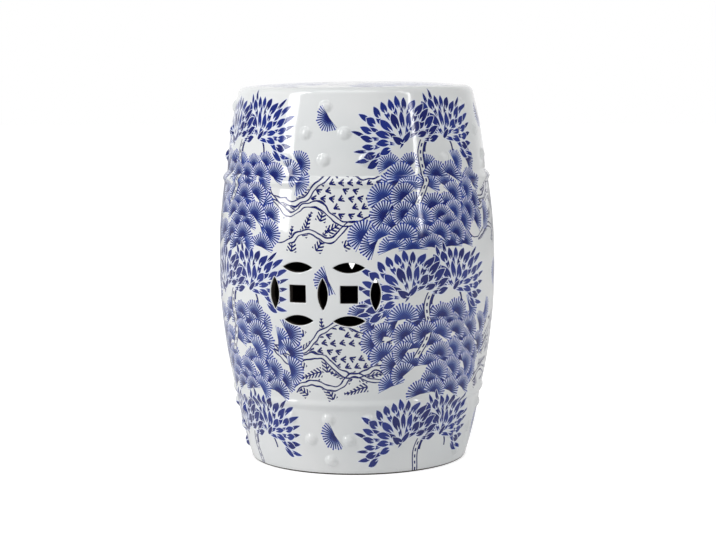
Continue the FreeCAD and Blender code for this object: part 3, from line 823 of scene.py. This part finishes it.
def pierced(clay, tools):
    """The clay with the cutters' bodies taken out of it."""
    shapes = []
    for shape, name in ((clay, "clay"), (tools, "cutters")):
        bmesh.ops.recalc_face_normals(shape, faces=shape.faces)
        mesh = bpy.data.meshes.new(name)
        shape.to_mesh(mesh)
        shape.free()
        shapes.append(bpy.data.objects.new(name, mesh))
        bpy.context.scene.collection.objects.link(shapes[-1])
    cut = shapes[0].modifiers.new("pierced", "BOOLEAN")
    cut.object = shapes[1]
    cut.solver = "EXACT"
    left = bmesh.new()
    left.from_object(shapes[0], bpy.context.evaluated_depsgraph_get())
    for shape in shapes:
        bpy.data.meshes.remove(shape.data)
    bmesh.ops.recalc_face_normals(left, faces=left.faces)
    return left


def shade_like(piece, normal_at):
    """Gives the glazed face the exact normals of its form, and tells the cut edges from it."""
    corner_normals = []
    for face in piece.data.polygons:
        facing = face.normal.dot(normal_at(face.center))
        # The cut walls past the round edges take the bare clay, whose dark colour is painted shade
        face.material_index = 0 if facing > PRINT_ENDS else 2 if facing > GLAZE_ENDS else 1
        for corner in face.vertices:
            glazed = face.material_index == 0
            corner_normals.append(normal_at(piece.data.vertices[corner].co) if glazed else (0, 0, 0))
    piece.data.normals_split_custom_set(corner_normals)


def lay_on_belly(height, turn):
    """Bends a flat drawing round the belly: across and up it, and so deep into the wall."""
    middle_radius, middle_height, radius = arc_centre(*belly_arc)

    def lay(across, up, depth):
        level = height + up
        reach = middle_radius + math.sqrt(radius ** 2 - (level - middle_height) ** 2) - depth
        angle = math.radians(turn) + across / BELLY_RADIUS
        return (reach * math.sin(angle), -reach * math.cos(angle), level)
    return lay


def belly_normal(spot):
    """Square to the belly at a spot on it."""
    middle_radius, middle_height, radius = arc_centre(*belly_arc)
    outward = Vector((spot.x, spot.y, 0.0))
    share = (outward.length - middle_radius) / outward.length
    return Vector((outward.x * share, outward.y * share, spot.z - middle_height)).normalized()


coin_pair = coin_cuts((-COIN_REACH, COIN_REACH))
tools = bmesh.new()
add_cutters(tools, coin_pair, WALL, lay_on_belly(FRONT_COINS_HEIGHT, 0.0))
add_cutters(tools, coin_pair, WALL, lay_on_belly(REAR_COINS_HEIGHT, REAR_COINS_TURN))
middle_course = pierced(turn_on_wheel(middle_line + inside_of(middle_line), WHEEL_STEPS), tools)
middle_course = fired(middle_course, "middle_course_pierced", ["middle_course"],
                      [printed_glaze, bare_clay_as_shade, plain_glaze])
shade_like(middle_course, belly_normal)

# Upper course. The upper boss band, thrown to draw in towards the seat; the same glazed and
# printed stoneware as the belly that it is luted to.

SEAT_JOINT_HEIGHT = 0.440
UPPER_BASE_RADIUS = 0.1572
UPPER_TOP_RADIUS = 0.1436
UPPER_BULGE = 0.0026

upper_arc = bulged((UPPER_BASE_RADIUS, UPPER_JOINT_HEIGHT), (UPPER_TOP_RADIUS, SEAT_JOINT_HEIGHT),
                   UPPER_BULGE)
upper_line = along_arc(upper_arc, BAND_POINTS)
upper_course = turn_on_wheel(upper_line + inside_of(upper_line), WHEEL_STEPS)
upper_course = fired(upper_course, "upper_course_glazed", ["upper_course"],
                     [printed_glaze, bare_clay_as_shade])
glaze_outside(upper_course)

# Seat top. A thrown slab with a flat middle, a shallow crown that sheds water and a round
# shoulder, glazed and printed above and bare below. One coin, cut through it, is the hand
# hold by which the stool is carried.

SEAT_HEIGHT = 0.457
SEAT_THICKNESS = 0.009
SEAT_FLAT_RADIUS = 0.058
CROWN_RADIUS = 0.13306
CROWN_FALL = 0.00433
CROWN_POWER = 1.6
SHOULDER_ROUND = 0.011
SEAT_RIM_RADIUS = 0.1


def crown(radius):
    """The height of the seat's upper side at a radius."""
    share = max(0.0, (radius - SEAT_FLAT_RADIUS) / (CROWN_RADIUS - SEAT_FLAT_RADIUS))
    return SEAT_HEIGHT - CROWN_FALL * share ** CROWN_POWER


crown_turn = math.atan(CROWN_POWER * CROWN_FALL / (CROWN_RADIUS - SEAT_FLAT_RADIUS))
arc_height, arc_radius = arc_centre(*upper_arc)[1:]
wall_turn = math.asin((SEAT_JOINT_HEIGHT - arc_height) / arc_radius)
shoulder_x = CROWN_RADIUS - SHOULDER_ROUND * math.sin(crown_turn)
shoulder_z = SEAT_HEIGHT - CROWN_FALL - SHOULDER_ROUND * math.cos(crown_turn)
flat_line = [(SEAT_FLAT_RADIUS * step / 8, SEAT_HEIGHT) for step in range(8)]
crown_radii = [SEAT_FLAT_RADIUS + (CROWN_RADIUS - SEAT_FLAT_RADIUS) * step / 16 for step in range(16)]
crown_line = [(radius, crown(radius)) for radius in crown_radii]
shoulder_line = []
for step in range(17):
    turn = crown_turn + (math.pi / 2 - wall_turn - crown_turn) * step / 16
    aside, up = SHOULDER_ROUND * math.sin(turn), SHOULDER_ROUND * math.cos(turn)
    shoulder_line.append((shoulder_x + aside, shoulder_z + up))
seat_section = flat_line + crown_line + shoulder_line + [
    (UPPER_TOP_RADIUS, SEAT_JOINT_HEIGHT),
    (UPPER_TOP_RADIUS - WALL, SEAT_JOINT_HEIGHT),
    (CROWN_RADIUS, SEAT_HEIGHT - CROWN_FALL - SEAT_THICKNESS),
    (SEAT_FLAT_RADIUS, SEAT_HEIGHT - SEAT_THICKNESS),
    (0.0, SEAT_HEIGHT - SEAT_THICKNESS),
]


def lay_on_seat(across, up, depth):
    """Lays a flat drawing on the seat: across and up it, and so deep into the slab."""
    return (across, up, SEAT_HEIGHT - depth)


tools = bmesh.new()
add_cutters(tools, coin_cuts((0.0,)), SEAT_THICKNESS, lay_on_seat)
seat = pierced(turn_on_wheel(seat_section, WHEEL_STEPS), tools)
seat = fired(seat, "seat_top_pierced", ["seat_top"], [printed_glaze, bare_clay_as_shade, plain_glaze])
for face in seat.data.polygons:
    radius = math.hypot(face.center.x, face.center.y)
    above = face.center.z > crown(radius) - 0.0001 or radius > CROWN_RADIUS and face.normal.z > -0.2
    below = face.normal.z < -0.5 or radius > SEAT_RIM_RADIUS and not above
    face.material_index = 0 if above else 1 if below else 2

# Mouldings. Two raised cords, rolled and pressed over the joints of the wall and glazed and
# printed with it, so that the glaze fills the angle where a cord runs out into the wall.

UPPER_MOULDING_HALF_HEIGHT = 0.0085
UPPER_MOULDING_PROJECTION = 0.003
LOWER_MOULDING_HALF_HEIGHT = 0.0075
LOWER_MOULDING_PROJECTION = 0.0022
CORD_DEPTH = 0.002
CORD_STEPS = 24


def cord_section(joint, half, projection, arc_below, arc_above):
    """A cord whose edges run out along the walls below and above the joint."""
    ends = []
    for arc, height in ((arc_below, joint - half), (arc_above, joint + half)):
        x, z, radius = arc_centre(*arc)
        across = math.sqrt(radius ** 2 - (height - z) ** 2)
        ends.append((x + across, -(height - z) / across))
    (low, low_slope), (high, high_slope) = ends
    crest = max(arc_below[-1][0], arc_above[0][0]) + projection
    line = []
    for step in range(CORD_STEPS + 1):
        t = step / CORD_STEPS
        base = (2 * t ** 3 - 3 * t ** 2 + 1) * low + (3 * t ** 2 - 2 * t ** 3) * high
        base += 2 * half * ((t ** 3 - 2 * t ** 2 + t) * low_slope + (t ** 3 - t ** 2) * high_slope)
        swell = (crest - (low + high) / 2) * math.sin(math.pi * t) ** 2
        line.append((base + swell, joint - half + 2 * half * t))
    return line + [(high - CORD_DEPTH, joint + half), (low - CORD_DEPTH, joint - half)]


upper_cord = cord_section(UPPER_JOINT_HEIGHT, UPPER_MOULDING_HALF_HEIGHT, UPPER_MOULDING_PROJECTION,
                          belly_arc, upper_arc)
lower_cord = cord_section(LOWER_JOINT_HEIGHT, LOWER_MOULDING_HALF_HEIGHT, LOWER_MOULDING_PROJECTION,
                          lower_arc, belly_arc)
for node, cord in (("upper_moulding", upper_cord), ("lower_moulding", lower_cord)):
    fired(turn_on_wheel(cord, WHEEL_STEPS), node + "_glazed", [node], [printed_glaze])

# Bosses. Sixty low domes, pressed in a mould and luted on in triangles like the nails of a
# drum, under the same glaze, which fills the angle at their feet. The print runs over them.

BOSS_DIAMETER = 0.0145
BOSS_RISE = 0.0034
BOSS_FOOT = 0.0006
BOSS_GLAZE_FOOT = ((0.0002, 0.00028), (0.0008, 0.00002), (0.0012, -0.0001))
BOSS_GROUPS = 5
BOSS_STEPS = 24
UPPER_BOSS_HEIGHTS = (0.4305, 0.4005, 0.3705)
UPPER_BOSS_TURN = 17.4
LOWER_BOSS_HEIGHTS = (0.069, 0.0435, 0.018)
LOWER_BOSS_TURN = 18.2

ball = ((BOSS_DIAMETER / 2) ** 2 + BOSS_RISE ** 2) / (2 * BOSS_RISE)
dome_line = []
for step in range(9):
    turn = math.asin(BOSS_DIAMETER / 2 / ball) * step / 9
    dome_line.append((ball * math.sin(turn), BOSS_RISE - ball * (1 - math.cos(turn))))
foot_line = [(BOSS_DIAMETER / 2 + out, up) for out, up in BOSS_GLAZE_FOOT]
boss_section = dome_line + foot_line + [(foot_line[-1][0], -BOSS_FOOT), (0.0, -BOSS_FOOT)]


def boss_row(name, node, arc, height, per_group, pitch):
    """The domes of one row, each square to the wall that it sits on."""
    x, z, radius = arc_centre(*arc)
    lean = math.asin((height - z) / radius)
    on_wall = Matrix.Translation((0, -x - radius * math.cos(lean), height))
    row = turn_on_wheel(boss_section, BOSS_STEPS)
    pattern = list(row.verts) + list(row.edges) + list(row.faces)
    for group in range(BOSS_GROUPS):
        for index in range(per_group):
            turn = math.radians(group * 360 / BOSS_GROUPS + (index - (per_group - 1) / 2) * pitch)
            copy = bmesh.ops.duplicate(row, geom=pattern)["geom"]
            laid = Matrix.Rotation(turn, 4, "Z") @ on_wall @ Matrix.Rotation(math.pi / 2 - lean, 4, "X")
            moved = [v for v in copy if isinstance(v, bmesh.types.BMVert)]
            bmesh.ops.transform(row, matrix=laid, verts=moved)
    bmesh.ops.delete(row, geom=[v for v in pattern if isinstance(v, bmesh.types.BMVert)], context="VERTS")
    fired(row, name, [node], [printed_glaze])


for row in range(3):
    boss_row(f"upper_bosses_{row + 1}_glazed", f"upper_bosses_row_{row + 1}", upper_arc,
             UPPER_BOSS_HEIGHTS[row], row + 1, UPPER_BOSS_TURN)
    boss_row(f"lower_bosses_{row + 1}_glazed", f"lower_bosses_row_{row + 1}", lower_arc,
             LOWER_BOSS_HEIGHTS[row], 3 - row, LOWER_BOSS_TURN)

# Studio. A white sweep of paper under soft light: two upright strips whose reflections run
# down the glaze, one panel overhead, and broad panels beside and behind that light the print
# without a reflection in it.

CAMERA_TURN = 13.7
CAMERA_DISTANCE = 2.236
CAMERA_HEIGHT = 0.478
CAMERA_PITCH = 6.4
CAMERA_ROLL = -0.54
AIM_ACROSS = 0.001
CAMERA_LENS = 92.06
LAMP_AIM_HEIGHT = 0.25

across = Vector((math.cos(math.radians(CAMERA_TURN)), math.sin(math.radians(CAMERA_TURN)), 0))
towards = Vector((math.sin(math.radians(CAMERA_TURN)), -math.cos(math.radians(CAMERA_TURN)), 0))
camera = bpy.data.objects.new("camera", bpy.data.cameras.new("camera"))
camera.data.lens = CAMERA_LENS
camera.data.sensor_width = 36.0
camera.data.clip_end = 50.0
camera.location = CAMERA_DISTANCE * towards + Vector((0, 0, CAMERA_HEIGHT))
drop = CAMERA_DISTANCE * math.tan(math.radians(CAMERA_PITCH))
aim = AIM_ACROSS * across + Vector((0, 0, CAMERA_HEIGHT - drop))
camera.rotation_euler = (aim - camera.location).to_track_quat("-Z", "Y").to_euler()
camera.rotation_euler.rotate_axis("Z", math.radians(CAMERA_ROLL))
bpy.context.scene.collection.objects.link(camera)
bpy.context.scene.camera = camera


def lamp(name, turn, distance, height, width, tall, watts, mirrored=True):
    """One soft panel, turned so many degrees round the stool from the camera, that faces the stool."""
    light = bpy.data.lights.new(name, "AREA")
    light.shape, light.size, light.size_y, light.energy = "RECTANGLE", width, tall, watts
    panel = bpy.data.objects.new(name, light)
    angle = math.radians(CAMERA_TURN + turn)
    panel.location = (distance * math.sin(angle), -distance * math.cos(angle), height)
    to_stool = Vector((0, 0, LAMP_AIM_HEIGHT)) - panel.location
    panel.rotation_euler = to_stool.to_track_quat("-Z", "Y").to_euler()
    panel.visible_glossy = mirrored
    bpy.context.scene.collection.objects.link(panel)


lamp("left strip", -61.0, 2.0, 1.35, 0.42, 2.2, 28.0)
lamp("right strip", 52.6, 2.0, 1.35, 0.12, 2.2, 10.0)
lamp("left panel", -112.0, 2.6, 0.9, 1.8, 1.8, 10.0, mirrored=False)
lamp("right panel", 112.0, 2.6, 0.9, 1.8, 1.8, 10.0, mirrored=False)
lamp("rear panel", 180.0, 2.6, 0.9, 1.8, 1.8, 12.0, mirrored=False)
lamp("overhead", -10.0, 0.9, 2.2, 1.5, 0.8, 9.0)

# The paper is matt and white. Part of it glows, more so to the camera and far away, so that it
# looks white right to the horizon and keeps the stool's shadow. It doesn't glow under the stool.
FLOOR_HALF_SIDE = 12.0
GLOW_SHARE = 0.45
GLOW = 0.7
SEEN_GLOW_NEAR = (0.25, 1.68)
SEEN_GLOW_FAR = (1.2, 2.25)

paper, tree = empty_material("white paper sweep")
matt = add(tree, "BsdfDiffuse", {"Color": linear("F4F4F4")})
place = add(tree, "TexCoord", {}, out="Object")
place = add(tree, "VectorMath", {0: place}, out="Value", operation="LENGTH")
outside = add(tree, "MapRange", {0: place, 1: FOOT_INNER_RADIUS, 2: FOOT_RADIUS, 3: 0.0, 4: GLOW_SHARE})
seen = add(tree, "LightPath", {}, out="Is Camera Ray")
(near, near_glow), (far, far_glow) = SEEN_GLOW_NEAR, SEEN_GLOW_FAR
seen_glow = add(tree, "MapRange", {0: place, 1: near, 2: far, 3: near_glow, 4: far_glow})
strength = add(tree, "Mix", {0: seen, 2: GLOW, 3: seen_glow}, data_type="FLOAT")
glow = add(tree, "Emission", {"Color": linear("FFFFFF"), "Strength": strength})
surface = add(tree, "MixShader", {0: outside, 1: matt, 2: glow})
add(tree, "OutputMaterial", {"Surface": surface})

sheet = bmesh.new()
bmesh.ops.create_grid(sheet, x_segments=1, y_segments=1, size=FLOOR_HALF_SIDE)
floor = bpy.data.objects.new("floor", bpy.data.meshes.new("floor"))
sheet.to_mesh(floor.data)
sheet.free()
floor.data.materials.append(paper)
bpy.context.scene.collection.objects.link(floor)

# The room is white to the camera and dim to the glaze, which mirrors a bright wall only where
# that stands behind the stool
ROOM_LIGHT = 0.3
MIRRORED_WALL = (-0.9, 1.0)
MIRRORED_ROOM = (-0.55, 0.28)

world = bpy.data.worlds.new("white studio")
bpy.context.scene.world = world
world.use_nodes = True
tree = world.node_tree
tree.nodes.clear()
rays = add(tree, "LightPath", {}, out="Is Camera Ray")
direct = add(tree, "Math", {0: rays, 1: rays.node.outputs["Is Transmission Ray"]}, operation="MAXIMUM")
facing = add(tree, "TexCoord", {}, out="Generated")
facing = add(tree, "VectorMath", {0: facing, 1: tuple(towards)}, out="Value", operation="DOT_PRODUCT")
(wall_at, wall_light), (room_at, room_light) = MIRRORED_WALL, MIRRORED_ROOM
mirrored = add(tree, "MapRange", {0: facing, 1: wall_at, 2: room_at, 3: wall_light, 4: room_light},
               interpolation_type="SMOOTHSTEP")
lit = add(tree, "Mix", {0: rays.node.outputs["Is Glossy Ray"], 2: ROOM_LIGHT, 3: mirrored}, data_type="FLOAT")
strength = add(tree, "Mix", {0: direct, 2: lit, 3: 1.0}, data_type="FLOAT")
sky = add(tree, "Background", {"Color": linear("FFFFFF"), "Strength": strength})
add(tree, "OutputWorld", {"Surface": sky})
bpy.context.scene.view_settings.view_transform = "Standard"
